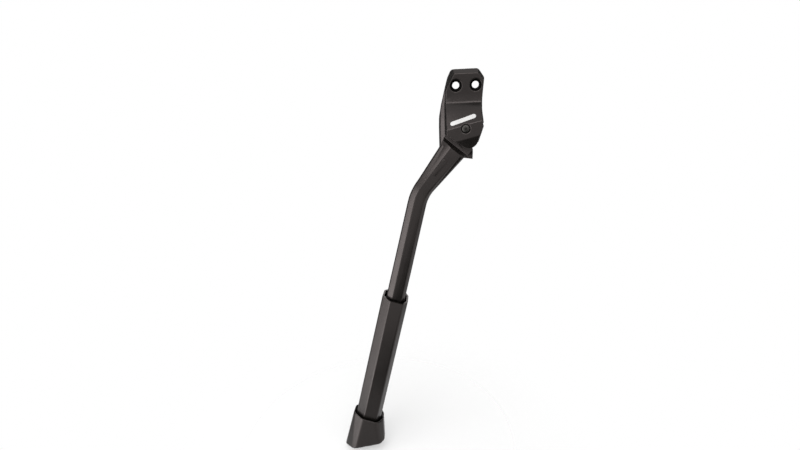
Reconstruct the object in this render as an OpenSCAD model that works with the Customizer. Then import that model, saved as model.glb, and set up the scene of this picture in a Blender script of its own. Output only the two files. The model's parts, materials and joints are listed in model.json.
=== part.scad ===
// Rear-mounted bicycle kickstand with a telescopic leg.
// Frame: the two bolt holes lie along X on the mating face Y = 0, -Y points away from the bicycle, +Z up.

/* [Frame bolts] */
// Distance between the two bolt holes
hole_spacing = 18; // [16:0.5:24]
// Diameter of each through hole
hole_d = 6.6; // [5:0.1:7]
// Diameter of the counterbore for the bolt head
counterbore_d = 10.8; // [9.5:0.1:11]
// Depth of the counterbore
counterbore_depth = 2.6; // [1:0.1:5]

/* [Housing] */
// Thickness of the bolting plate
plate_t = 8; // [7:0.5:10]
// Height of the plate's top edge above the holes
plate_top = 14.4; // [12:0.2:18]
// Half width of the bolting plate
plate_half_w = 17; // [16:0.5:20]
// Height of the corner cuts at the top of the plate
corner_cut = 8.6; // [4:0.2:9]
// Radius of the plate's corners
corner_r = 3.6; // [2:0.2:5]
// How far the right edge draws in towards the front
right_draft = 3; // [1:0.1:4]
// How far the right side draws in between the plate and the pin
right_waist = 1.3; // [0.6:0.1:2]
// How far the left edge of the front stands out below the plate
left_front = 2.3; // [1:0.1:3]
// How far the left wall spreads towards the mating face
wall_draft = 8.6; // [6:0.2:9]
// Depth at which the flange that spreads to the left meets the front's side
flange_depth = 10; // [8.5:0.5:13]
// Slope of that flange's face
flange_slope = 34; // [20:1:40]
// Distance from the pin to the cover's lowest point
cover_reach = 18.5; // [18:0.1:20]
// Radius of the cover's round lower corner
cover_end_r = 8.6; // [7:0.2:9.4]
// Thickness of the cover wall at the pin
cover_t = 4.6; // [4:0.1:6]
// Height above the pin of the crease where the ramp meets the pin facet
upper_crease = 4.6; // [4.2:0.1:8]
// Distance below the pin of the crease of the lower facet
lower_crease = 7.4; // [6:0.1:10]
// Angle at which the lower facet falls back
lower_facet_angle = 8; // [4:1:12]
// Radius of the hollow blend between the plate and the step
blend_r = 7; // [4:0.5:9]
// Slope of the step above the ramp
step_angle = 50; // [45:1:60]
// Depth of the step in front of the plate
step_depth = 5; // [4:0.2:7]
// Slope of the ramp from the step to the pin facet
ramp_angle = 33; // [30:1:38]

/* [Pivot] */
// Pin centre, right of the middle of the holes
pivot_x = -0.6; // [-2:0.1:1]
// Pin centre, below the holes
pivot_drop = 38.2; // [37:0.2:42]
// Middle of the leg's hub, in front of the mating face
pivot_depth = 14.5; // [14.3:0.1:15.5]
// Slope of the creases and of the pivot frame across the plate
crease_tilt = 14; // [8:1:18]
// Outward splay of the leg's plane
splay = 8; // [6:0.5:10]
// Pin diameter
pin_d = 7.6; // [6:0.2:8.2]
// Diameter of the countersink round the pin's outer end
pin_sink_d = 9.2; // [8.8:0.1:11]
// Depth of the recess for the retaining ring at the mating face
ring_recess = 3; // [2.8:0.1:3.4]
// Retaining ring outer diameter
ring_d = 14; // [12:0.5:16]
// Retaining ring thickness
ring_t = 1; // [0.8:0.1:1.5]

/* [Leg] */
// Radius of the leg's hub
hub_r = 12; // [11:0.2:13]
// Half thickness of the hub between the bush flanges
hub_half = 5; // [4.6:0.1:5.2]
// Corner radius of the leg's section
leg_corner = 2.8; // [2:0.1:3.2]
// Width of the bar below the knee
bar_w = 18.2; // [16:0.2:19]
// Width of the bar where it enters the sleeve
bar_end_w = 19; // [17:0.2:19.4]
// Depth of the bar across the leg's plane
bar_depth = 15; // [12:0.2:15.4]
// Width of the crank beside the hub
crank_w = 26.4; // [24:0.2:28]
// Lean of the bar away from the pivot frame's vertical
bar_lean = 28.4; // [24:0.1:32]
// Lean of the crank away from the pivot frame's vertical
crank_lean = 53.5; // [48:0.5:58]
// Sideways distance from the pin to the bar's centre line
bar_offset = 28.5; // [24:0.2:32]
// Distance at which the crank's centre line passes the pin
crank_miss = 3.6; // [2.5:0.1:4.5]
// Radius of the knee's centre line
knee_r = 44; // [30:1:60]
// Distance from the pin to the sleeve's rim, along the bar
rim_at = 177.5; // [170:0.5:185]
// Length of bar inside the sleeve
bar_inside = 92; // [80:1:96]
// Reach of the stop heel from the pin
heel_reach = 28.6; // [26:0.2:30]
// Half thickness of the stop heel
heel_half = 5; // [4:0.2:6]
// Angle that the leg swings when it folds
fold_angle = 110; // [95:1:112]

/* [Bushes and washers] */
// Wall of the flanged bushes
bush_wall = 1.5; // [1:0.1:2]
// Length of each bush barrel
bush_len = 4.6; // [3:0.1:4.8]
// Flange diameter of the bushes
flange_d = 18; // [15:0.5:19]
// Flange thickness of the bushes
flange_t = 1; // [0.6:0.1:1.4]
// Thickness of the thrust washers
washer_t = 0.8; // [0.5:0.1:1]

/* [Detent] */
// Distance from the pin to the detent plunger
detent_at = 12.2; // [12:0.1:12.6]
// Diameter of the detent plunger
plunger_d = 4; // [3.6:0.1:4.2]
// Length of the detent plunger
plunger_len = 5; // [4.6:0.1:5.2]
// Travel of the plunger into its pockets
plunger_travel = 1.2; // [0.8:0.1:1.5]
// Depth of the plunger's bore in the leg
plunger_bore = 8.6; // [8:0.1:9]
// Wire diameter of the detent spring
spring_wire = 0.7; // [0.5:0.05:0.8]
// Turns of the detent spring
spring_turns = 4; // [3:1:5]

/* [Sleeve] */
// Scale of the sleeve's outline about its axis, as its half width
sleeve_half_w = 13.2; // [12.2:0.1:14]
// Half depth of the sleeve
sleeve_half_d = 12; // [11.6:0.1:14]
// Wall of the sleeve
sleeve_wall = 1.7; // [1.4:0.1:2]
// Length of the sleeve
sleeve_len = 151; // [146:1:154]
// Corner radius of the sleeve's outline
sleeve_corner = 2.6; // [2:0.1:3]
// Depth of the upper guide below the rim
guide_below_rim = 9; // [6:0.5:14]
// Length of the upper guide
upper_guide_len = 26; // [22:1:30]
// Length of the guide shoe on the end of the bar
shoe_len = 12; // [8:0.5:16]
// Diameter of the clamp screw
clamp_d = 6; // [5:0.5:8]
// Diameter of the threaded insert round the clamp screw
insert_d = 9; // [8.5:0.5:10]
// Diameter of the boss on the back of the sleeve
boss_d = 13; // [12:0.5:15]
// Height of the boss above the sleeve's back
boss_h = 3.6; // [2.5:0.1:5]
// Travel of the sleeve each way
sleeve_travel = 20; // [10:1:22]
// Slant of the sleeve's rim, lower in front
rim_slant = 11; // [0:1:14]

/* [Foot] */
// Length of the sleeve's lower end that the foot covers
foot_grip = 14.5; // [13:0.5:18]
// Gap between the foot's collar and the sleeve
collar_gap = 1.6; // [1.2:0.1:2.2]
// Wall of the foot's collar
collar_wall = 1.4; // [1.2:0.1:2]
// Depth of the open collar
collar_depth = 9; // [6:0.5:10]
// Depth of the opening in the back of the collar
collar_notch = 8; // [4:0.5:8.5]
// Distance from the sleeve's lower end to the sole, on the bar's centre line
sole_below = 16.5; // [13:0.5:20]
// Slope of the sole along the bicycle
sole_tilt = 12; // [6:0.5:15]
// Slope of the sole across the bicycle, which leans on the parked stand
parked_lean = 8; // [4:0.5:10]
// How far the foot spreads to the right at the sole
flare_right = 8; // [4:0.5:9]
// How far the foot spreads to the left at the sole
flare_left = 0.8; // [0:0.1:3]
// How far the foot spreads to front and back at the sole
flare_depth = 4; // [2:0.5:6]
// Corner radius of the foot at the sole
foot_corner = 3.6; // [3:0.1:4.4]
// Thickness of the end plug
plug_len = 12; // [10:0.5:14]
// Diameter of the foot screw
foot_screw_d = 5; // [4:0.5:6]
// Diameter of the foot screw's head
foot_head_d = 9; // [8:0.5:10]

/* [Fits] */
// Radial gap of parts that turn or slide on each other
running_gap = 0.05; // [0.02:0.01:0.09]
// Radial gap of parts that are pressed or fixed together
press_gap = 0.01; // [0.01:0.01:0.02]
// Gap at the leg's stops
stop_gap = 0.15; // [0.1:0.05:0.3]
// Gap of the slides inside the sleeve
slide_gap = 0.12; // [0.08:0.01:0.2]

/* [Hidden] */
$fn = 64;
eps = 0.01;
front_slice = 30;
far = 80;

powder_black = [0.10, 0.10, 0.10];
moulded_black = [0.12, 0.115, 0.11];
rubber_black = [0.09, 0.09, 0.09];
bronze = [0.62, 0.48, 0.28];
brass = [0.74, 0.62, 0.34];
steel = [0.62, 0.63, 0.65];
nylon = [0.83, 0.82, 0.78];

hub_half_all = hub_half + flange_t;
cavity_half = hub_half_all + washer_t + 2 * running_gap;
cover_y = -cavity_half - cover_t;
pin_r = pin_d / 2;
bush_r = pin_r + running_gap + bush_wall;
pocket_r = plunger_d / 2 + 0.25;
crank_from_hub = 14;
screw_head_up = 4;
below_sole = 20;
slice_t = 0.1;
taper_above_rim = sleeve_travel + 10;
flank_angle = 47.7;
flank_dir = [-sin(flank_angle), -cos(flank_angle)];
flank_out = [-cos(flank_angle), sin(flank_angle)];
sleeve_bottom_at = rim_at + sleeve_len;
foot_rim_at = sleeve_bottom_at - foot_grip;
sole_at = sleeve_bottom_at + sole_below;
bar_end_at = rim_at + bar_inside;

// Unit normal of the edge from a to b, to the right of its direction
function edge_normal(a, b) = [b[1] - a[1], a[0] - b[0]] / norm(b - a);

// Points of an outline with round corners of radius r on the given centres
function round_points(c, r) = let (n = len(c), steps = 5)
    [for (i = [0:n - 1])
        let (m0 = edge_normal(c[(i + n - 1) % n], c[i]), m1 = edge_normal(c[i], c[(i + 1) % n]),
             a0 = atan2(m0[1], m0[0]), a1 = atan2(m1[1], m1[0]), span = (a1 - a0 + 360) % 360)
            for (k = [0:steps]) c[i] + r * [cos(a0 + span * k / steps), sin(a0 + span * k / steps)]];

// Outline of the bar and the sleeve: a flat front, a wide facet at the left front and a rounded back
function keel(hw, hd, r) = [
    [-0.22 * hw, -hd + r], [0.70 * hw - r / 2, -hd + r], [hw - r, -0.38 * hd],
    [hw - r - 0.06 * hw, 0.42 * hd], [0.62 * hw - r / 2, hd - r], [-0.58 * hw + r / 2, hd - r],
    [-hw + r, 0.42 * hd], [-hw + r, -0.30 * hd]];

// The pivot's frame: X along the creases, -Y along the pin to the outside, origin in the hub's middle
module at_pivot()
    translate([pivot_x, -pivot_depth, -pivot_drop])
        rotate([0, -crease_tilt, 0]) rotate([-splay, 0, 0]) children();

// The bar's frame: +Z up the bar, origin level with the pin
module at_bar()
    at_pivot() rotate([0, bar_lean, 0]) translate([-bar_offset, 0, 0]) children();

// Turns a profile in the pivot's X and Z into a slab between two depths
module slab(y0, y1) translate([0, y1, 0]) rotate([90, 0, 0]) linear_extrude(y1 - y0) children();

module pin_hole(r, y0, y1) translate([0, y1, 0]) rotate([90, 0, 0]) cylinder(r = r, h = y1 - y0);

// Corners of the plate's top, which are round, in X and Z
function plate_corners() = [
    [-plate_half_w + 0.9 * corner_cut - corner_r / 2, plate_top - corner_r],
    [plate_half_w - 0.85 * corner_cut, plate_top - corner_r],
    [plate_half_w - corner_r, plate_top - corner_cut - 0.5],
    [-plate_half_w + corner_r, plate_top - corner_cut]];

// Blank of the casting: the outline at the mating face spreads at the left, the one in front is narrower
module housing_blank() {
    low = -1.62 * pivot_drop;
    left = [[1, 1], [0.96, 0.76], [0.72, 0.47], [0.26, 0.05]];
    back = concat([[plate_half_w, -1.05 * pivot_drop], [0.53 * plate_half_w, low], [-plate_half_w - wall_draft, low]],
                  [for (p = left) [-plate_half_w - wall_draft * p[0], -pivot_drop * p[1]]]);
    front = [[plate_half_w - right_draft, -0.8 * pivot_drop], [plate_half_w - right_draft, low],
             [-plate_half_w - left_front, low], [-plate_half_w - left_front, -0.8 * pivot_drop]];
    hull() {
        for (y = [-eps, -front_slice])
            for (c = plate_corners())
                translate([c[0], y + eps, c[1]]) rotate([90, 0, 0]) cylinder(r = corner_r, h = eps, $fn = 32);
        slab(-eps, 0) polygon(back);
        slab(-front_slice - eps, -front_slice) polygon(front);
    }
}

// Side profile of the front, drawn in Y and Z and swept along the creases
module housing_relief() {
    drop = pivot_drop * cos(crease_tilt) + pivot_x * sin(crease_tilt);
    facet_y = function (h) -pivot_depth + cover_y * cos(splay) + (h + drop + cover_y * sin(splay)) * tan(splay);
    crease_h = -drop + upper_crease;
    crease_y = facet_y(crease_h);
    ramp_top = crease_h + (-plate_t - step_depth - crease_y) / tan(ramp_angle);
    step_top = ramp_top + (step_depth - blend_r * (1 - cos(step_angle))) / tan(step_angle);
    arc_c = [-plate_t - blend_r, step_top + blend_r * sin(step_angle)];
    low_h = -drop - lower_crease;
    low_y = facet_y(low_h);
    rotate([0, -crease_tilt, 0]) translate([-far, 0, 0])
        rotate([90, 0, 90]) linear_extrude(2 * far)
            polygon(concat(
                [[0, far], [-plate_t, far]],
                [for (i = [0:8]) arc_c + blend_r * [cos(step_angle * i / 8), -sin(step_angle * i / 8)]],
                [[-plate_t - step_depth, ramp_top], [crease_y, crease_h], [low_y, low_h],
                 [low_y + (far - 40) * tan(lower_facet_angle), low_h - far + 40], [0, low_h - far + 40]]));
}

// Space kept for the cover's round end in front and for the longer wall behind
module housing_ends() {
    at_pivot() {
        slab(-far, far) polygon([[-far, 0], [far, 0], [far, far], [-far, far]]);
        slab(-far, cavity_half) cover_end();
        slab(0, far) polygon(concat([[-far, eps]], cover_reach * [[-1.73, -0.76], [-1.24, -0.86], [-0.2, -1.08],
            [0.11, -1], [0.46, -0.84], [0.81, -0.32], [0.89, 0]]));
    }
}

// Hollow of the right side between the plate and the pin, along the side's draft
module right_side_cut() {
    draft_angle = atan(right_draft / front_slice);
    hollow = [[-0.3, 0.13], [0.6, -0.18], [1, -0.37], [1, -0.58], [0.6, -0.71], [-0.3, -0.92]];
    translate([plate_half_w, 0, 0]) rotate([0, 0, -draft_angle])
        slab(-far, far) polygon(concat([for (p = hollow) [-right_waist * p[0], pivot_drop * p[1]]],
            [[far, -0.92 * pivot_drop], [far, 0.13 * pivot_drop]]));
}

// Space in front of the left flange
module left_side_cut() {
    front_x = -plate_half_w - left_front;
    translate([0, 0, -far]) linear_extrude(2 * far)
        polygon([[front_x, -far], [-far, -far], [-far, (far + front_x) * tan(flange_slope) - flange_depth],
                 [front_x, -flange_depth]]);
}

// Round corner under the pin with its two straight edges
module cover_end() {
    left_edge = 131;
    right_edge = 55;
    c = [0.3, cover_end_r - cover_reach];
    a = c + cover_end_r * [-sin(left_edge), cos(left_edge)];
    b = c + cover_end_r * [sin(right_edge), -cos(right_edge)];
    translate(c) circle(r = cover_end_r);
    polygon([c, a, a + far / 2 * [cos(left_edge), sin(left_edge)],
             b + far / 2 * [cos(right_edge), sin(right_edge)], b]);
}

// Room in which the leg swings, from the deployed stop on the left round to the folded stop on the right
module swing_room() {
    right_stop = 28;
    a = flank_out * (hub_r + stop_gap);
    at_pivot() {
        slab(-cavity_half, cavity_half) polygon([[0, 0], a, a + flank_dir * far, [-far, -far], [far, -far],
            [far, far * tan(right_stop)]]);
        pin_hole(hub_r + 0.5, -hub_half - 0.3, hub_half + 0.3);
        pin_hole(flange_d / 2 + 0.5, -cavity_half, cavity_half);
    }
}

module detent_pocket(turn) {
    at_pivot() rotate([0, -turn, 0]) rotate([0, crank_lean, 0]) translate([0, 0, -detent_at])
        translate([0, cavity_half - running_gap + plunger_travel - plunger_d / 2 + 0.1, 0]) sphere(r = pocket_r);
}

module housing() color(powder_black) difference() {
    intersection() {
        housing_blank();
        housing_relief();
        housing_ends();
    }
    swing_room();
    right_side_cut();
    left_side_cut();
    for (s = [-1, 1]) translate([s * hole_spacing / 2, 0, 0]) {
        pin_hole(hole_d / 2, -far, far);
        pin_hole(counterbore_d / 2, -far, -plate_t + counterbore_depth);
    }
    at_pivot() {
        pin_hole(pin_r + press_gap, -far, far);
        translate([0, cover_y - eps, 0]) rotate([-90, 0, 0])
            cylinder(r1 = pin_sink_d / 2, r2 = pin_r, h = (pin_sink_d / 2 - pin_r) * 1.2);
        pin_hole(ring_d / 2 + 1, pivot_depth - ring_recess, far);
    }
    for (turn = [0, fold_angle]) detent_pocket(turn);
}

// Pin with a domed outer end and a groove for the retaining ring
module pivot_pin() color(steel) at_pivot() {
    ring_y = pivot_depth - ring_recess + press_gap;
    groove = 0.8;
    tail = 1.2;
    dome = 0.9;
    rotate([-90, 0, 0]) translate([0, 0, cover_y]) rotate_extrude()
        polygon([[0, -dome * 0.4], [pin_r * 0.5, -dome * 0.3], [pin_r * 0.8, 0], [pin_r, dome],
                 [pin_r, ring_y - cover_y], [pin_r - groove, ring_y - cover_y],
                 [pin_r - groove, ring_y - cover_y + ring_t + press_gap],
                 [pin_r, ring_y - cover_y + ring_t + press_gap],
                 [pin_r - 0.2, ring_y - cover_y + ring_t + tail], [0, ring_y - cover_y + ring_t + tail]]);
}

module retaining_ring() color(steel) at_pivot() {
    ring_y = pivot_depth - ring_recess + press_gap;
    difference() {
        pin_hole(ring_d / 2, ring_y, ring_y + ring_t);
        pin_hole(pin_r - 0.8 + press_gap, ring_y - 1, ring_y + ring_t + 1);
        translate([0, 0, ring_d / 2]) cube([pin_d * 0.7, 4 * ring_t + 40, ring_d], center = true);
    }
}

module thrust_washer(side) color(steel) at_pivot() {
    y = side * (hub_half_all + running_gap + washer_t / 2);
    difference() {
        pin_hole(flange_d / 2, y - washer_t / 2, y + washer_t / 2);
        pin_hole(pin_r + running_gap, y - washer_t, y + washer_t);
    }
}

module outer_washer() thrust_washer(-1);

module inner_washer() thrust_washer(1);

module flanged_bush(side) color(bronze) at_pivot() mirror([0, side > 0 ? 1 : 0, 0]) difference() {
    union() {
        pin_hole(bush_r, -hub_half, -hub_half + bush_len);
        pin_hole(flange_d / 2, -hub_half_all, -hub_half - press_gap);
        pin_hole(bush_r, -hub_half - 2 * press_gap, -hub_half + eps);
    }
    pin_hole(pin_r + running_gap, -far, far);
}

module outer_bush() flanged_bush(-1);

module inner_bush() flanged_bush(1);

// One section of the leg in the pivot's frame: its middle in X and Z, its lean, half width and half depth
function leg_section(middle, lean, hw, hd) =
    [for (p = round_points(keel(hw, hd, leg_corner), leg_corner)) [middle[0] + p[0] * cos(lean), p[1], middle[1] - p[0] * sin(lean)]];

// Point in the pivot's X and Z from one in a frame that leans about the pin
function leaning(p, lean) = [p[0] * cos(lean) + p[1] * sin(lean), p[1] * cos(lean) - p[0] * sin(lean)];

// Where the knee ends on the bar, so that the crank's centre line passes the pin at its own distance
function knee_from_pin() = let (turn = crank_lean - bar_lean)
    (bar_offset * cos(turn) + crank_miss) / sin(turn) + knee_r * tan(turn / 2);

// Solid skinned over sections with equal numbers of points, the first on top
module skin(sections) {
    rows = len(sections);
    n = len(sections[0]);
    walls = [for (i = [0:rows - 2], k = [0:n - 1])
        let (a = i * n + k, b = i * n + (k + 1) % n)
            each [[a, b, b + n], [a, b + n, a + n]]];
    polyhedron([for (s = sections) each s],
        concat(walls, [[for (k = [n - 1:-1:0]) k]], [[for (k = [0:n - 1]) (rows - 1) * n + k]]));
}

// Crank, knee and bar
module leg_skin() {
    knee_steps = 6;
    knee_centre = leaning([knee_r - bar_offset, -knee_from_pin()], bar_lean);
    skin(concat(
        [leg_section(leaning([crank_miss - 0.5, -crank_from_hub], crank_lean), crank_lean, crank_w / 2, hub_half + 0.4)],
        [for (k = [0:knee_steps])
            let (lean = crank_lean - (crank_lean - bar_lean) * k / knee_steps)
                leg_section(knee_centre - knee_r * [cos(lean), -sin(lean)], lean, bar_w / 2, bar_depth / 2)],
        [for (d = [rim_at - taper_above_rim, bar_end_at])
            leg_section(leaning([-bar_offset, -d], bar_lean), bar_lean, bar_end_w / 2, bar_depth / 2)]));
}

module leg() color(powder_black) difference() {
    at_pivot() {
        pin_hole(hub_r, -hub_half, hub_half);
        slab(-hub_half, hub_half) crank_root();
        slab(-heel_half, heel_half) heel();
        leg_skin();
    }
    at_pivot() pin_hole(bush_r + press_gap, -far, far);
    detent_bore();
    at_bar() translate([0, 0, -bar_end_at - 1]) cylinder(d = 4.2, h = 16);
}

// Flat web that joins the hub to the crank, tangent to the hub on the stop side
module crank_root() {
    a = flank_out * (hub_r - eps);
    polygon([a, a + flank_dir * 2 * hub_r, [-hub_r, -2.04 * hub_r], [0.12 * hub_r, -hub_r]]);
}

// Nose on the right of the crank that meets the housing when the leg is folded
module heel() polygon([[0.12 * hub_r, -0.83 * hub_r], [0.13 * hub_r, -0.71 * heel_reach],
                       [0.08 * hub_r, -0.79 * heel_reach], [-0.08 * hub_r, -heel_reach],
                       [-hub_r, -0.84 * heel_reach], [-hub_r, -0.83 * hub_r]]);

module detent_bore() at_pivot() rotate([0, crank_lean, 0]) translate([0, 0, -detent_at])
    pin_hole(plunger_d / 2 + running_gap, hub_half - plunger_bore + 1, far);

module detent_plunger() color(steel) at_pivot() rotate([0, crank_lean, 0]) translate([0, 0, -detent_at]) {
    tip = cavity_half - running_gap;
    r = plunger_d / 2;
    pin_hole(r, tip - plunger_len, tip - r);
    translate([0, tip - r, 0]) sphere(r = r);
}

// Closed compression spring between the plunger and the bottom of its bore
module detent_spring() color(steel) at_pivot() rotate([0, crank_lean, 0]) translate([0, 0, -detent_at]) {
    y1 = cavity_half - running_gap - plunger_len - 0.1;
    y0 = hub_half - plunger_bore + 1.1;
    mean_r = plunger_d / 2 - spring_wire / 2 - 0.15;
    sides = 6;
    steps = 12;
    rows = spring_turns * steps;
    pitch = (y1 - y0 - spring_wire) / rows;
    points = [for (i = [0:rows], k = [0:sides - 1])
        let (a = 360 * i / steps, b = 360 * k / sides, rr = mean_r + cos(b) * spring_wire / 2)
        [rr * cos(a), y0 + spring_wire / 2 + i * pitch + sin(b) * spring_wire / 2, rr * sin(a)]];
    walls = [for (i = [0:rows - 1], k = [0:sides - 1])
        [i * sides + k, (i + 1) * sides + k, (i + 1) * sides + (k + 1) % sides, i * sides + (k + 1) % sides]];
    polyhedron(points, concat(walls, [[for (k = [0:sides - 1]) k]],
        [[for (k = [sides - 1:-1:0]) rows * sides + k]]));
}

// Sleeve outline shrunk or grown evenly
module sleeve_shape(grow = 0)
    polygon(round_points(keel(sleeve_half_w, sleeve_half_d, sleeve_corner), sleeve_corner + grow));

// Outline of the bar's straight end, shrunk or grown evenly
module bar_shape(grow = 0)
    polygon(round_points(keel(bar_end_w / 2, bar_depth / 2, leg_corner), leg_corner + grow));

module clamp_place() at_bar() translate([0, 0, -rim_at - guide_below_rim - upper_guide_len / 2]) children();

module sleeve() color(moulded_black) difference() {
    union() {
        at_bar() translate([0, 0, -sleeve_bottom_at]) linear_extrude(sleeve_len + 6) sleeve_shape();
        clamp_place() pin_hole(boss_d / 2, sleeve_half_d - sleeve_wall, sleeve_half_d + boss_h);
    }
    at_bar() translate([0, 0, -sleeve_bottom_at - 1]) linear_extrude(sleeve_len + 8) sleeve_shape(-sleeve_wall);
    at_bar() translate([0, 0, -rim_at]) rotate([rim_slant, 0, 0]) translate([-far / 2, -far / 2, 0]) cube(far);
    clamp_place() pin_hole(insert_d / 2 + press_gap, 0, far);
}

// Plastic liner inside the sleeve's upper end: its hole guides the bar
module upper_guide() color(nylon) difference() {
    at_bar() translate([0, 0, -rim_at - guide_below_rim - upper_guide_len]) linear_extrude(upper_guide_len)
        difference() {
            sleeve_shape(-sleeve_wall - press_gap);
            bar_shape(slide_gap);
        }
    clamp_place() pin_hole(insert_d / 2 + press_gap, 0, far);
}

module clamp_insert() color(brass) clamp_place() difference() {
    pin_hole(insert_d / 2, bar_depth / 2 + 2, sleeve_half_d + boss_h);
    pin_hole(clamp_d / 2 + press_gap, 0, far);
}

module clamp_screw() color(steel) clamp_place() difference() {
    pin_hole(clamp_d / 2, bar_depth / 2 + 1.6, sleeve_half_d + boss_h - 0.6);
    translate([0, sleeve_half_d + boss_h - 3.6, 0]) rotate([-90, 0, 0]) cylinder(d = 3.5, h = 10, $fn = 6);
}

module pressure_pad() color(brass) clamp_place()
    pin_hole(insert_d / 2 - 0.8, bar_depth / 2 + slide_gap, bar_depth / 2 + 1.6 - press_gap);

// Shoe on the bar's end that slides in the sleeve
module bar_shoe() color(nylon) difference() {
    at_bar() translate([0, 0, -bar_end_at - shoe_len / 2]) linear_extrude(shoe_len)
        sleeve_shape(-sleeve_wall - slide_gap);
    at_bar() translate([0, 0, -bar_end_at]) linear_extrude(shoe_len)
        bar_shape(press_gap);
    at_bar() translate([0, 0, -bar_end_at - shoe_len]) cylinder(d = 4.3, h = 2 * shoe_len);
    at_bar() translate([0, 0, -bar_end_at - shoe_len / 2 - 1]) cylinder(d = 9, h = 4);
}

module shoe_screw() color(steel) at_bar() translate([0, 0, -bar_end_at - shoe_len / 2 + 3 - 2.6]) difference() {
    union() {
        cylinder(d = 8, h = 2.6 - press_gap);
        cylinder(d = 4.1, h = 16);
    }
    translate([0, 0, -1]) cylinder(d = 2.9, h = 2.6, $fn = 6);
}

module end_plug() color(moulded_black) difference() {
    at_bar() translate([0, 0, -sleeve_bottom_at]) linear_extrude(plug_len)
        sleeve_shape(-sleeve_wall - press_gap);
    at_bar() translate([0, 0, -sleeve_bottom_at - 1]) cylinder(d = foot_screw_d + 2 * press_gap, h = plug_len + 2);
}

// Foot: a flared boot with an open collar, cut level by the sole
module foot() color(rubber_black) difference() {
    foot_outer();
    at_bar() translate([0, 0, -foot_rim_at - collar_depth]) linear_extrude(far) sleeve_shape(collar_gap);
    at_bar() translate([0, 0, -sleeve_bottom_at]) linear_extrude(far) sleeve_shape(press_gap);
    at_bar() translate([-sleeve_half_w * 0.72, sleeve_half_d - 4, -foot_rim_at - collar_notch])
        cube([sleeve_half_w * 1.44, far, far]);
    at_bar() translate([0, 0, -sole_at - 30]) cylinder(d = foot_screw_d + 2 * press_gap, h = 60);
    at_bar() translate([0, 0, -sole_at - 30]) cylinder(d = foot_head_d + 0.4, h = 30 + screw_head_up);
}

// Flared boot from the rim to below the sole
module foot_outer() intersection() {
    at_bar() hull() {
        translate([0, 0, -foot_rim_at - slice_t]) linear_extrude(slice_t) sleeve_shape(collar_gap + collar_wall);
        translate([0, 0, -sole_at - below_sole]) linear_extrude(slice_t) polygon(round_points(foot_base(), foot_corner));
    }
    sole_space();
}

// Corner centres of the section below the sole, spread beyond the collar
function foot_base() = let (
    spread = (sole_at + below_sole - foot_rim_at) / (sole_at - foot_rim_at),
    w = sleeve_half_w + collar_gap + collar_wall - foot_corner,
    d = sleeve_half_d + collar_gap + collar_wall - foot_corner + flare_depth * spread,
    right = w + flare_right * spread,
    left = -w - flare_left * spread)
    [[-0.35 * w, -d], [right + 3.5, -d], [right - 2, 0.5 * d], [0.62 * w, d], [-0.58 * w, d],
     [left, 0.42 * d], [left, -0.34 * d]];

// Everything above the sole plane
module sole_space() at_sole() translate([-far, -far, 0]) cube([2 * far, 2 * far, 3 * far]);

module at_sole() {
    p = bar_point(sole_at);
    translate(p) rotate([-parked_lean, -sole_tilt, 0]) children();
}

// Point on the bar's centre line at a distance from the pin, in the part's frame
function bar_point(d) = let (
    x = -bar_offset * cos(bar_lean) - d * sin(bar_lean),
    z = bar_offset * sin(bar_lean) - d * cos(bar_lean),
    y1 = z * sin(splay),
    z1 = z * cos(splay))
    [pivot_x + x * cos(crease_tilt) - z1 * sin(crease_tilt), -pivot_depth + y1,
     -pivot_drop + x * sin(crease_tilt) + z1 * cos(crease_tilt)];

module foot_screw() color(steel) at_bar() difference() {
    union() {
        translate([0, 0, -sole_at + screw_head_up - 3]) cylinder(d = foot_head_d, h = 3 - press_gap);
        translate([0, 0, -sole_at + screw_head_up - 3]) cylinder(d = foot_screw_d, h = sole_at - sleeve_bottom_at + plug_len - 3);
    }
    translate([0, 0, -sole_at + screw_head_up - 4]) cylinder(d = 3.5, h = 3, $fn = 6);
}

housing();
pivot_pin();
retaining_ring();
outer_washer();
inner_washer();
leg();
outer_bush();
inner_bush();
detent_plunger();
detent_spring();
bar_shoe();
shoe_screw();
sleeve();
upper_guide();
clamp_insert();
clamp_screw();
pressure_pad();
end_plug();
foot();
foot_screw();
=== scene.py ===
# %% [markdown]
# A folding bicycle kickstand in Blender. The CAD model already holds every solid at its modelled size, so this file
# gives each visible piece its soft cast edges, its coat, its plastic or rubber, and sets up a plain studio.

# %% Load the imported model
import bpy
import json
from math import cos, radians
from mathutils import Matrix, Vector


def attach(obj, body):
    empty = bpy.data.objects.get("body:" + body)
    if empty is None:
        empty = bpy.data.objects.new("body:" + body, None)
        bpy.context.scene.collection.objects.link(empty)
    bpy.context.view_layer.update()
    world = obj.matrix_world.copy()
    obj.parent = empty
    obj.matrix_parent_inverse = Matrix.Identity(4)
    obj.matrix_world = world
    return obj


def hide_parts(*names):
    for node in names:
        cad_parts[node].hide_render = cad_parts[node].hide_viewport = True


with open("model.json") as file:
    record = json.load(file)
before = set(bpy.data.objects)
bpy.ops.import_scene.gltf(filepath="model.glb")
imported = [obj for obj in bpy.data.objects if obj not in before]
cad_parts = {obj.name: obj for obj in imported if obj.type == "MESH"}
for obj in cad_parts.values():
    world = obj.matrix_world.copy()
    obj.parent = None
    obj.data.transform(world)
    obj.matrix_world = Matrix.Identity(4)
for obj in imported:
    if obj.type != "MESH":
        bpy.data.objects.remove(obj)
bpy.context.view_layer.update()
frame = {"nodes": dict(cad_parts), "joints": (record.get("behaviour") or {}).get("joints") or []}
nodes = frame["nodes"]
MM = 0.001
print("CAD nodes:", len(nodes))

# %% [markdown]
# The camera comes first, because every comparison with the photograph depends on it. It stands almost square to
# the bolting plate, a little below half a metre away, and looks down, so the foot is seen from above. The view is
# rolled by three degrees, which is why the two bolt holes rise to the right.

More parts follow.
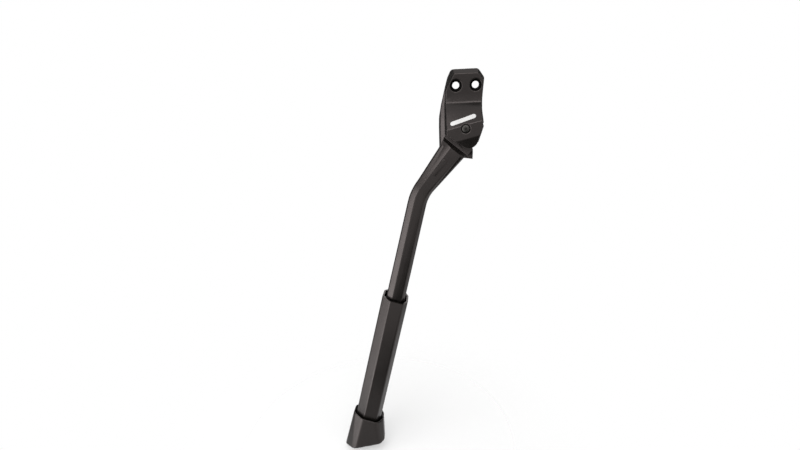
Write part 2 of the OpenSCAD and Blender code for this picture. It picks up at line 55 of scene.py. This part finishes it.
# %% Camera
camera_data = bpy.data.cameras.new("photo_camera")
camera_data.sensor_width = 36
camera_data.lens = 22.03
camera_data.clip_start = 0.01
camera = bpy.data.objects.new("photo_camera", camera_data)
bpy.context.scene.collection.objects.link(camera)
pan, look, roll = 5.2, -19.58, -3.0
camera.matrix_world = (Matrix.Translation(Vector((-24.5, -476.2, 32.8)) * MM)
                       @ Matrix.Rotation(radians(pan), 4, "Z")
                       @ Matrix.Rotation(radians(90 + look), 4, "X")
                       @ Matrix.Rotation(radians(roll), 4, "Z"))
bpy.context.scene.camera = camera
print("camera at", [round(v, 4) for v in camera.location])

# %% [markdown]
# Two frames make placing easy. The pivot frame has its origin in the middle of the leg's hub, its Y along the pin
# into the bicycle, and the bar frame turns that one about the pin, so that its Z runs up the leg.

# %% Frames of the pivot and the bar
fold = next(j for j in frame["joints"] if j["name"] == "leg_fold")
pin_middle = Vector(fold["pos_m"])
crease_tilt, splay, bar_lean = radians(14), radians(8), radians(28.4)
pivot_frame = (Matrix.Translation(pin_middle) @ Matrix.Rotation(-crease_tilt, 4, "Y")
               @ Matrix.Rotation(-splay, 4, "X"))
bar_frame = (pivot_frame @ Matrix.Rotation(bar_lean, 4, "Y")
             @ Matrix.Translation(Vector((-28.5, 0, 0)) * MM))
pin_out = Vector(fold["axis"]).normalized()
print("pin leans by", round(pin_out.angle(-(pivot_frame.to_3x3() @ Vector((0, 1, 0)))), 5), "rad from its frame")

# %% [markdown]
# Every finish here has some fine grain: the skin of a powder coat, the spark texture of a mould, the pores of
# sintered bronze. One node group makes them all from two layers of noise, and each material sets its own scales.
# It reads Object coordinates, which are metres, so a scale of 1000 is a feature of about one millimetre.

# %% Node group: fine grain
def new_group(name, inputs, outputs):
    group = bpy.data.node_groups.new(name, "ShaderNodeTree")
    for socket, value in inputs:
        item = group.interface.new_socket(name=socket, in_out="INPUT", socket_type="NodeSocketFloat")
        item.default_value = value
    for socket in outputs:
        group.interface.new_socket(name=socket, in_out="OUTPUT", socket_type="NodeSocketFloat")
    return group, group.nodes.new("NodeGroupInput"), group.nodes.new("NodeGroupOutput")

def add(tree, kind, links=None, **settings):
    node = tree.nodes.new(kind)
    for name, value in settings.items():
        setattr(node, name, value)
    for socket, source in (links or {}).items():
        if isinstance(source, bpy.types.NodeSocket):
            tree.links.new(source, node.inputs[socket])
        else:
            node.inputs[socket].default_value = source
    return node

grain, grain_in, grain_out = new_group("fine_grain", [("Fine Scale", 1400.0), ("Broad Scale", 60.0)],
                                       ["Grain", "Cloud"])
place = add(grain, "ShaderNodeTexCoord")
fine = add(grain, "ShaderNodeTexNoise", {"Vector": place.outputs["Object"], "Scale": grain_in.outputs["Fine Scale"],
                                         "Detail": 3.0, "Roughness": 0.6})
broad = add(grain, "ShaderNodeTexNoise", {"Vector": place.outputs["Object"], "Detail": 2.0, "Roughness": 0.5,
                                          "Scale": grain_in.outputs["Broad Scale"]})
grain.links.new(fine.outputs["Fac"], grain_out.inputs["Grain"])
grain.links.new(broad.outputs["Fac"], grain_out.inputs["Cloud"])
print("group:", grain.name, [s.name for s in grain.interface.items_tree])

# %% [markdown]
# A finish is then a dark and a light tone, mixed by the grain, a range of roughness, and the depth of the relief.
# The shader itself stays in each material, and numbers that are the same all over are set on its own sockets.

# %% Materials
warm_tint = (1.0, 0.88, 0.86, 1)

def finish(name, dark, light, rough, relief, fine_scale, metallic=0.0, specular=0.5):
    material = bpy.data.materials.new(name)
    material.use_nodes = True
    tree = material.node_tree
    shader = tree.nodes["Principled BSDF"]
    shader.inputs["Metallic"].default_value = metallic
    shader.inputs["Specular IOR Level"].default_value = specular
    if not metallic:
        shader.inputs["Specular Tint"].default_value = warm_tint
    grained = add(tree, "ShaderNodeGroup", node_tree=grain)
    grained.inputs["Fine Scale"].default_value = fine_scale
    grained.inputs["Broad Scale"].default_value = 60.0
    both = add(tree, "ShaderNodeMath", {0: grained.outputs["Grain"], 1: grained.outputs["Cloud"]}, operation="ADD")
    spread = add(tree, "ShaderNodeMapRange", {"Value": both.outputs[0], "From Min": 0.7, "From Max": 1.3})
    tone = add(tree, "ShaderNodeMix", {"Factor": spread.outputs[0]}, data_type="RGBA")
    tone.inputs[6].default_value = (*dark, 1)
    tone.inputs[7].default_value = (*light, 1)
    gloss = add(tree, "ShaderNodeMapRange", {"Value": spread.outputs[0], "To Min": rough[0], "To Max": rough[1]})
    bump = add(tree, "ShaderNodeBump", {"Height": grained.outputs["Grain"], "Strength": 1.0,
                                        "Distance": relief * MM})
    tree.links.new(tone.outputs[2], shader.inputs["Base Color"])
    tree.links.new(gloss.outputs[0], shader.inputs["Roughness"])
    tree.links.new(bump.outputs["Normal"], shader.inputs["Normal"])
    return material

finishes = {
    "powder_coat": finish("powder_coat_black", (0.0030, 0.0027, 0.0024), (0.0056, 0.0050, 0.0045), (0.28, 0.36),
                          0.03, 1100),
    "moulded": finish("moulded_plastic_black", (0.0034, 0.0031, 0.0027), (0.0054, 0.0050, 0.0044), (0.27, 0.34),
                      0.02, 1900),
    "rubber": finish("rubber_black", (0.0040, 0.0038, 0.0035), (0.0068, 0.0065, 0.0060), (0.33, 0.42), 0.03, 1500),
    "dark_steel": finish("blackened_steel", (0.045, 0.043, 0.040), (0.075, 0.072, 0.068), (0.38, 0.50), 0.02, 1600,
                         metallic=1.0),
    "steel": finish("zinc_plated_steel", (0.50, 0.50, 0.49), (0.62, 0.62, 0.60), (0.24, 0.38), 0.01, 2200,
                    metallic=1.0),
    "bronze": finish("sintered_bronze", (0.32, 0.17, 0.07), (0.50, 0.29, 0.13), (0.38, 0.55), 0.03, 2500,
                     metallic=1.0),
    "brass": finish("turned_brass", (0.62, 0.42, 0.16), (0.74, 0.53, 0.24), (0.22, 0.34), 0.01, 1800, metallic=1.0),
    "nylon": finish("natural_nylon", (0.62, 0.59, 0.50), (0.72, 0.69, 0.61), (0.42, 0.54), 0.02, 1200),
    # painted shade: a near-black, dull finish with almost no specular, standing for the shadow inside the
    # counterbores
    "recess": finish("painted_shade_recess_black", (0.0012, 0.0012, 0.0011), (0.0022, 0.0021, 0.0020), (0.70, 0.85), 0.02,
                     1500, specular=0.06),
    "printed": finish("printed_mark", (0.58, 0.58, 0.57), (0.72, 0.72, 0.71), (0.40, 0.55), 0.02, 1600),
}
print("finishes:", len(finishes))

# %% [markdown]
# A carried-over solid arrives as loose triangles. A copy of it is merged and its flat faces are joined again. Then
# a Bevel modifier rounds its edges, or a fine voxel remesh with smoothing gives it the skin of a casting.

# %% Helpers for making pieces
def only(piece):
    if bpy.context.mode != "OBJECT":
        bpy.ops.object.mode_set(mode="OBJECT")
    bpy.ops.object.select_all(action="DESELECT")
    piece.select_set(True)
    bpy.context.view_layer.objects.active = piece

def apply_modifier(piece, kind, **settings):
    only(piece)
    modifier = piece.modifiers.new(kind.lower(), kind)
    for name, value in settings.items():
        setattr(modifier, name, value)
    bpy.ops.object.modifier_apply(modifier=modifier.name)

def join_flats(piece, gap):
    only(piece)
    bpy.ops.object.mode_set(mode="EDIT")
    bpy.ops.mesh.select_all(action="SELECT")
    bpy.ops.mesh.remove_doubles(threshold=gap)
    bpy.ops.mesh.dissolve_limited(angle_limit=radians(0.6))
    bpy.ops.object.mode_set(mode="OBJECT")

def merged_copy(node, name):
    piece = nodes[node].copy()
    piece.data = nodes[node].data.copy()
    piece.name = name
    piece.parent = None
    piece.data.materials.clear()
    for key in list(piece.keys()):
        del piece[key]
    bpy.context.scene.collection.objects.link(piece)
    join_flats(piece, 0.002 * MM)
    return piece

def soften(piece, width, angle):
    apply_modifier(piece, "BEVEL", width=width * MM, limit_method="ANGLE", angle_limit=radians(angle),
                   segments=3, use_clamp_overlap=True, harden_normals=False)
    only(piece)
    bpy.ops.object.shade_smooth_by_angle(angle=radians(40))

def cast_skin(piece, voxel, rounds):
    apply_modifier(piece, "REMESH", mode="VOXEL", voxel_size=voxel * MM, adaptivity=0.0)
    apply_modifier(piece, "SMOOTH", factor=0.5, iterations=rounds)
    only(piece)
    bpy.ops.object.shade_smooth()

def stand_for(piece, node, body, slot):
    piece.data.materials.append(finishes[slot])
    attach(piece, body)
    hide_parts(node)
    print(piece.name, "stands for", node, "with", len(piece.data.polygons), "faces")

# %% [markdown]
# Twisted and sloped faces are cut from the copy with a cutting block. It is a plane that is extruded from one
# four-cornered cross-section to the next, and then subtracted.

# %% Helpers for cutting
def cutting_block(levels, turn=Matrix.Identity(4)):
    bpy.ops.object.select_all(action="DESELECT")
    bpy.ops.mesh.primitive_plane_add(size=2)
    block = bpy.context.active_object
    for vertex, corner in zip(sorted(block.data.vertices, key=lambda v: v.index), levels[0]):
        vertex.co = Vector(corner) * MM
    for lower, upper in zip(levels, levels[1:]):
        bpy.ops.object.mode_set(mode="EDIT")
        bpy.ops.mesh.extrude_region()
        bpy.ops.object.mode_set(mode="OBJECT")
        for vertex in (v for v in block.data.vertices if v.select):
            nearest = min(range(4), key=lambda i: (Vector(lower[i]) * MM - vertex.co).length)
            vertex.co = Vector(upper[nearest]) * MM
    bpy.ops.object.mode_set(mode="EDIT")
    bpy.ops.mesh.select_all(action="SELECT")
    bpy.ops.mesh.normals_make_consistent(inside=False)
    bpy.ops.object.mode_set(mode="OBJECT")
    block.matrix_world = turn
    return block

def cut_away(piece, block):
    apply_modifier(piece, "BOOLEAN", operation="DIFFERENCE", object=block, solver="EXACT")
    bpy.data.objects.remove(block)
    print(piece.name, "after the cut:", len(piece.data.vertices), "vertices")

def plane_cut(piece, point, normal):
    only(piece)
    bpy.ops.object.mode_set(mode="EDIT")
    bpy.ops.mesh.select_all(action="SELECT")
    bpy.ops.mesh.bisect(plane_co=Vector(point) * MM, plane_no=normal, use_fill=True, clear_outer=True)
    bpy.ops.object.mode_set(mode="OBJECT")

# %% Helper for picking edges
def select_edges(piece, wanted):
    only(piece)
    bpy.ops.object.mode_set(mode="EDIT")
    bpy.ops.mesh.select_mode(type="EDGE")
    bpy.ops.mesh.select_all(action="DESELECT")
    bpy.ops.object.mode_set(mode="OBJECT")
    for edge in piece.data.edges:
        edge.select = wanted(*(piece.data.vertices[i].co / MM for i in edge.vertices))
    return sum(edge.select for edge in piece.data.edges)

# %% [markdown]
# In the photograph the bolting plate stays flat down to a level line, and the ramp rises from there to the tilted
# crease over the pin, so its surface twists a little. The block for it has level cross-sections down the plate and
# ever more tilted ones down the ramp. Its long edges are subdivided, so that the twisted faces shade evenly.

# %% Housing: ramp
block_left, block_right, block_front = -45, 45, -70
ramp_foot = -15.5

def crease_height(x):
    return -33.3 + 0.2493 * x

def cross_section(y, left, right):
    return [(block_left, y, left), (block_right, y, right),
            (block_left, block_front, left), (block_right, block_front, right)]

def ramp_row(y, share):
    return cross_section(y, *(ramp_foot + share * (crease_height(x) - ramp_foot)
                              for x in (block_left, block_right)))

plate_rows = [cross_section(y, height, height) for y, height in (
    (-7.95, 40), (-7.95, -6), (-7.98, -8), (-8.10, -10), (-8.34, -12), (-8.68, -14))]
ramp_rows = [ramp_row(y, share) for y, share in (
    (-9.1, 0), (-11.5, 0.1), (-13.6, 0.2), (-15.4, 0.3), (-16.95, 0.4), (-21.2, 0.7), (-26.86, 1.1))]
casting = merged_copy("housing", "cast_housing")
ramp_block = cutting_block(plate_rows + ramp_rows)
select_edges(ramp_block, lambda a, b: abs(a.x - b.x) > 1)
bpy.ops.object.mode_set(mode="EDIT")
bpy.ops.mesh.subdivide(number_cuts=20)
bpy.ops.object.mode_set(mode="OBJECT")
cut_away(casting, ramp_block)

# %% [markdown]
# At the left the mating face is wider than the front, and the flange between them slopes to the left. A second
# block clears it from the top corner down and gives the front body a little draft, seen as a dark line beside it.

# %% Housing: left flange
flange_slope, outer_x, outer_y = 0.6745, -34, -30

def flange_row(height, front_x, root):
    return [(front_x, outer_y, height), root + (height,), (outer_x, outer_y, height),
            (outer_x, root[1] + flange_slope * (root[0] - outer_x), height)]

cut_away(casting, cutting_block([
    flange_row(20, -11, (-18.45, -6.7)), flange_row(-6, -11, (-18.5, -6.7)),
    flange_row(-17, -17, (-19.32, -7.4)), flange_row(-30, -17.9, (-19.36, -9.85)),
    flange_row(-75, -17.9, (-19.36, -9.85))]))

# %% [markdown]
# The top of the plate and its two cut corners have a wide chamfer in front. Bisect cuts the mesh along a plane,
# fills the cut and clears what lies outside, which is the quickest way to a chamfer that runs over several edges.
# The counterbores should look black, so their walls get a second, matt near-black material with almost no specular:
# painted shade that stands for the shadow deep in them.

# %% Housing: top chamfers, cast skin and counterbores
for point, normal in (((0, -7.95, 10.7), (0, -0.62, 0.785)),
                      ((-12.65, -7.95, 6.2), (-0.75, -0.53, 0.40)),
                      ((12.5, -7.95, 9.0), (0.70, -0.50, 0.50))):
    plane_cut(casting, point, normal)
join_flats(casting, 0.02 * MM)
cast_skin(casting, 0.45, 6)
stand_for(casting, "housing", "housing_body", "powder_coat")
# Painted shade: faces within the counterbores get the near-black finish in place of the shadow that falls there.
casting.data.materials.append(finishes["recess"])
bolt_holes = [Vector((-9, 0)), Vector((9, 0))]
recess_r, recess_front, recess_back = 5.9, -7.6, -0.3
for face in casting.data.polygons:
    spot = face.center / MM
    from_hole = min((Vector((spot.x, spot.z)) - hole).length for hole in bolt_holes)
    if from_hole < recess_r and recess_front < spot.y < recess_back:
        face.material_index = 1
print("recessed faces:", sum(face.material_index == 1 for face in casting.data.polygons))

# %% [markdown]
# Leg, sleeve and foot keep the section seen in the photograph: a flat front and a wide facet at the left front. Where
# crank and heel leave the housing they are thinner: their front falls back to the hub, under the cover.

# %% Leg
crank_frame = pivot_frame @ Matrix.Rotation(radians(53.5), 4, "Y")
leg = merged_copy("leg", "cast_leg")
neck_start, neck_front, crank_front, heel_front = 12.6, -2.2, -7.6, -5.3

def neck_block(left, right, neck_end, slope_end, front, turn):
    return cutting_block([[(x, y, -along) for y in (level_front, -20) for x in (left, right)]
                          for along, level_front in ((neck_start, neck_front), (neck_end, neck_front),
                                                     (slope_end, front))], turn)

cut_away(leg, neck_block(-30, 17, 18.6, 24.0, crank_front, crank_frame))
cut_away(leg, neck_block(-4, 30, 21.5, 25.5, heel_front, pivot_frame))
soften(leg, 0.5, 35)
stand_for(leg, "leg", "leg_body", "powder_coat")

# %% [markdown]
# The sleeve's long edges at the front and the left are marked in an edge attribute, and a first bevel rounds only
# those. A second, small one takes the rims.

# %% Sleeve and foot
sleeve = merged_copy("sleeve", "moulded_sleeve")
bar_axis = (bar_frame.to_3x3() @ Vector((0, 0, 1))).normalized()

def long_edge(a, b):
    along = (b - a).normalized()
    across = (bar_frame.inverted() @ ((a + b) / 2 * MM)) / MM
    in_front = across.y < 4 and (across.x < 0 or across.y < -8)
    return in_front and (b - a).length > 40 and abs(along.dot(bar_axis)) > 0.99

print("long edges of the sleeve:", select_edges(sleeve, long_edge))
weight = sleeve.data.attributes.new("bevel_weight_edge", "FLOAT", "EDGE")
for edge in sleeve.data.edges:
    weight.data[edge.index].value = 1.0 if edge.select else 0.0
apply_modifier(sleeve, "BEVEL", width=2.6 * MM, limit_method="WEIGHT", segments=6,
               use_clamp_overlap=True)
soften(sleeve, 0.3, 50)
stand_for(sleeve, "sleeve", "sleeve_body", "moulded")
foot = merged_copy("foot", "rubber_foot")
cast_skin(foot, 0.5, 12)
stand_for(foot, "foot", "sleeve_body", "rubber")

# %% [markdown]
# The pin's end is a blackened, slightly domed rivet head in a sunk ring.

# %% Pivot pin
pin = merged_copy("pivot_pin", "riveted_pin")
soften(pin, 0.8, 35)
stand_for(pin, "pivot_pin", "housing_body", "dark_steel")

# %% [markdown]
# The ramp carries one plain pale bar, printed on the coat. It starts as a grid, gets round ends, is pushed against
# the casting with Shrinkwrap, so that it follows the twist, and gets a hair of thickness.

# %% Printed bar
bar_left, bar_right = Vector((-14.8, -60, -32.9)), Vector((8.3, -60, -25.85))
bar_height, print_gap, print_thickness = 3.3, 0.03, 0.08
bar_length = (bar_right - bar_left).length
bar_direction = (bar_right - bar_left).normalized()
bar_upward = Vector((-bar_direction.z, 0, bar_direction.x))
bpy.ops.object.select_all(action="DESELECT")
bpy.ops.mesh.primitive_grid_add(x_subdivisions=40, y_subdivisions=8, size=1)
bar = bpy.context.active_object
bar.name = "printed_bar_long"
for vertex in bar.data.vertices:
    u, v = vertex.co.x, vertex.co.y
    round_end = 1 - (1 - (2 * v) ** 2) ** 0.5 if abs(v) < 0.5 else 1
    inset = bar_height / 2 * round_end / bar_length
    u = max(-0.5 + inset, min(0.5 - inset, u))
    vertex.co = ((bar_left + bar_right) / 2 + bar_direction * u * bar_length
                 + bar_upward * v * bar_height) * MM
apply_modifier(bar, "SHRINKWRAP", target=casting, wrap_method="PROJECT", use_project_y=True,
               use_negative_direction=True, use_positive_direction=True, offset=print_gap * MM)
apply_modifier(bar, "SOLIDIFY", thickness=print_thickness * MM, offset=1.0)
bar.data.materials.append(finishes["printed"])
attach(bar, "housing_body")
print(bar.name, "is", round(bar_length, 1), "mm long")

# %% [markdown]
# A low raised pad lies on the crank's front, along its length.

# %% Raised pad
pad_size = Vector((4.2, 0.7, 18.0))
pad_middle = crank_frame.inverted() @ (Vector((-25.6, -24.9, -72.1)) * MM) / MM
pad_middle.y = -7.45
bpy.ops.object.select_all(action="DESELECT")
bpy.ops.mesh.primitive_cube_add(size=1)
pad = bpy.context.active_object
pad.name = "raised_pad"
for vertex in pad.data.vertices:
    vertex.co = crank_frame @ ((pad_middle + vertex.co * pad_size) * MM)
print("pad lies at", [round(v, 1) for v in pad_middle], "in the crank's frame")
soften(pad, 0.3, 30)
pad.data.materials.append(finishes["powder_coat"])
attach(pad, "leg_body")

# %% [markdown]
# Every other solid is right as it is, and only gets its finish. The model's own slot names say which.

# %% Finishes of the solids that stay
own_piece = {"housing", "leg", "sleeve", "foot", "pivot_pin"}
for name in sorted(set(nodes) - own_piece):
    for place_of in nodes[name].material_slots:
        place_of.material = finishes[place_of.material.name]
    print(name, "->", nodes[name].material_slots[0].material.name)

# %% [markdown]
# The studio is a white room. The floor is a disc that fades out, so no edge of it shows and it still takes the
# shadow of the foot. Three softboxes make the highlights: one in front above, one far left and one behind above.

# %% Floor
floor_middle = (-0.1, -0.05)
ground = min((nodes["foot"].matrix_world @ v.co).z for v in nodes["foot"].data.vertices)
bpy.ops.object.select_all(action="DESELECT")
bpy.ops.mesh.primitive_circle_add(vertices=96, radius=0.45, fill_type="NGON")
floor = bpy.context.active_object
floor.name = "studio_floor"
for vertex in floor.data.vertices:
    vertex.co += Vector((*floor_middle, ground - 0.2 * MM))
floor_paint = bpy.data.materials.new("studio_white")
floor_paint.use_nodes = True
paint = floor_paint.node_tree
shader = paint.nodes["Principled BSDF"]
shader.inputs["Base Color"].default_value = (0.93, 0.93, 0.93, 1)
shader.inputs["Roughness"].default_value = 0.9
shader.inputs["Specular IOR Level"].default_value = 0.0
where = add(paint, "ShaderNodeTexCoord")
from_foot = add(paint, "ShaderNodeVectorMath", {0: where.outputs["Object"], 1: (*floor_middle, ground)},
                operation="DISTANCE")
fade = add(paint, "ShaderNodeMapRange",
           {"Value": from_foot.outputs["Value"], "From Min": 0.05, "From Max": 0.24,
            "To Min": 0.55, "To Max": 0.0}, interpolation_type="SMOOTHSTEP")
paint.links.new(fade.outputs[0], shader.inputs["Alpha"])
floor.data.materials.append(floor_paint)

# %% Lamps
def softbox(name, place, aim, size, power):
    data = bpy.data.lights.new(name, "AREA")
    data.shape = "RECTANGLE"
    data.size, data.size_y = size
    data.energy = power
    lamp = bpy.data.objects.new(name, data)
    lamp.location = place
    lamp.rotation_euler = (Vector(aim) - Vector(place)).to_track_quat("-Z", "Y").to_euler()
    bpy.context.scene.collection.objects.link(lamp)

softbox("front_softbox", (-0.15, -0.72, 0.52), (0, 0, -0.05), (1.0, 0.38), 4.5)
softbox("left_softbox", (-0.80, -0.46, -0.30), (0, 0, -0.20), (0.45, 1.1), 6.0)
softbox("back_softbox", (-0.05, 0.80, 0.35), (0, 0, -0.20), (1.4, 0.45), 5.0)

# %% [markdown]
# The world is that white room. Camera, glossy and transmission rays see it at strength 1, so black plastic and
# steel mirror the background that the picture shows. Four dark flags hang in it, as a photographer would hang them:
# low in front, over the camera, and behind at the left and at the right. They keep black surfaces black, and the
# camera doesn't see them.

# %% World
world = bpy.data.worlds.new("white_room")
bpy.context.scene.world = world
world.use_nodes = True
room = world.node_tree
rays = add(room, "ShaderNodeLightPath")
towards = add(room, "ShaderNodeTexCoord")
open_share = None
flags = [("low in front", (0.10, -0.78, -0.62), (1, 1, 1), 24, 34, 0.01),
         ("over the camera", (0.0, -0.93, 0.36), (0.35, 1, 1), 5, 12, 0.25),
         ("left behind", (-0.75, 0.60, 0.10), (1, 1, 1), 38, 52, 0.10),
         ("right behind", (0.75, 0.60, 0.25), (1, 1, 1), 38, 52, 0.05)]
for title, axis, squeeze, inner, outer, left_over in flags:
    squeezed = add(room, "ShaderNodeVectorMath", {0: towards.outputs["Generated"], 1: squeeze},
                   operation="MULTIPLY")
    unit = add(room, "ShaderNodeVectorMath", {0: squeezed.outputs["Vector"]}, operation="NORMALIZE")
    facing = add(room, "ShaderNodeVectorMath",
                 {0: unit.outputs["Vector"], 1: Vector(axis).normalized()}, operation="DOT_PRODUCT")
    flag = add(room, "ShaderNodeMapRange",
               {"Value": facing.outputs["Value"], "From Min": cos(radians(outer)),
                "From Max": cos(radians(inner)), "To Min": 1.0, "To Max": left_over},
               interpolation_type="SMOOTHSTEP", label=title)
    if open_share is None:
        open_share = flag
    else:
        open_share = add(room, "ShaderNodeMath", {0: open_share.outputs[0], 1: flag.outputs[0]},
                         operation="MULTIPLY")
mirrored = add(room, "ShaderNodeMath",
               {0: rays.outputs["Is Glossy Ray"], 1: rays.outputs["Is Transmission Ray"]},
               operation="MAXIMUM")
level = add(room, "ShaderNodeMapRange", {"Value": mirrored.outputs[0], "To Min": 0.75, "To Max": 1.0})
flagged = add(room, "ShaderNodeMath", {0: level.outputs[0], 1: open_share.outputs[0]}, operation="MULTIPLY")
strength = add(room, "ShaderNodeMath", {0: flagged.outputs[0], 1: rays.outputs["Is Camera Ray"]},
               operation="MAXIMUM")
room.links.new(strength.outputs[0], room.nodes["Background"].inputs["Strength"])
room.nodes["Background"].inputs["Color"].default_value = (1, 1, 1, 1)
bpy.context.scene.view_settings.view_transform = "Standard"
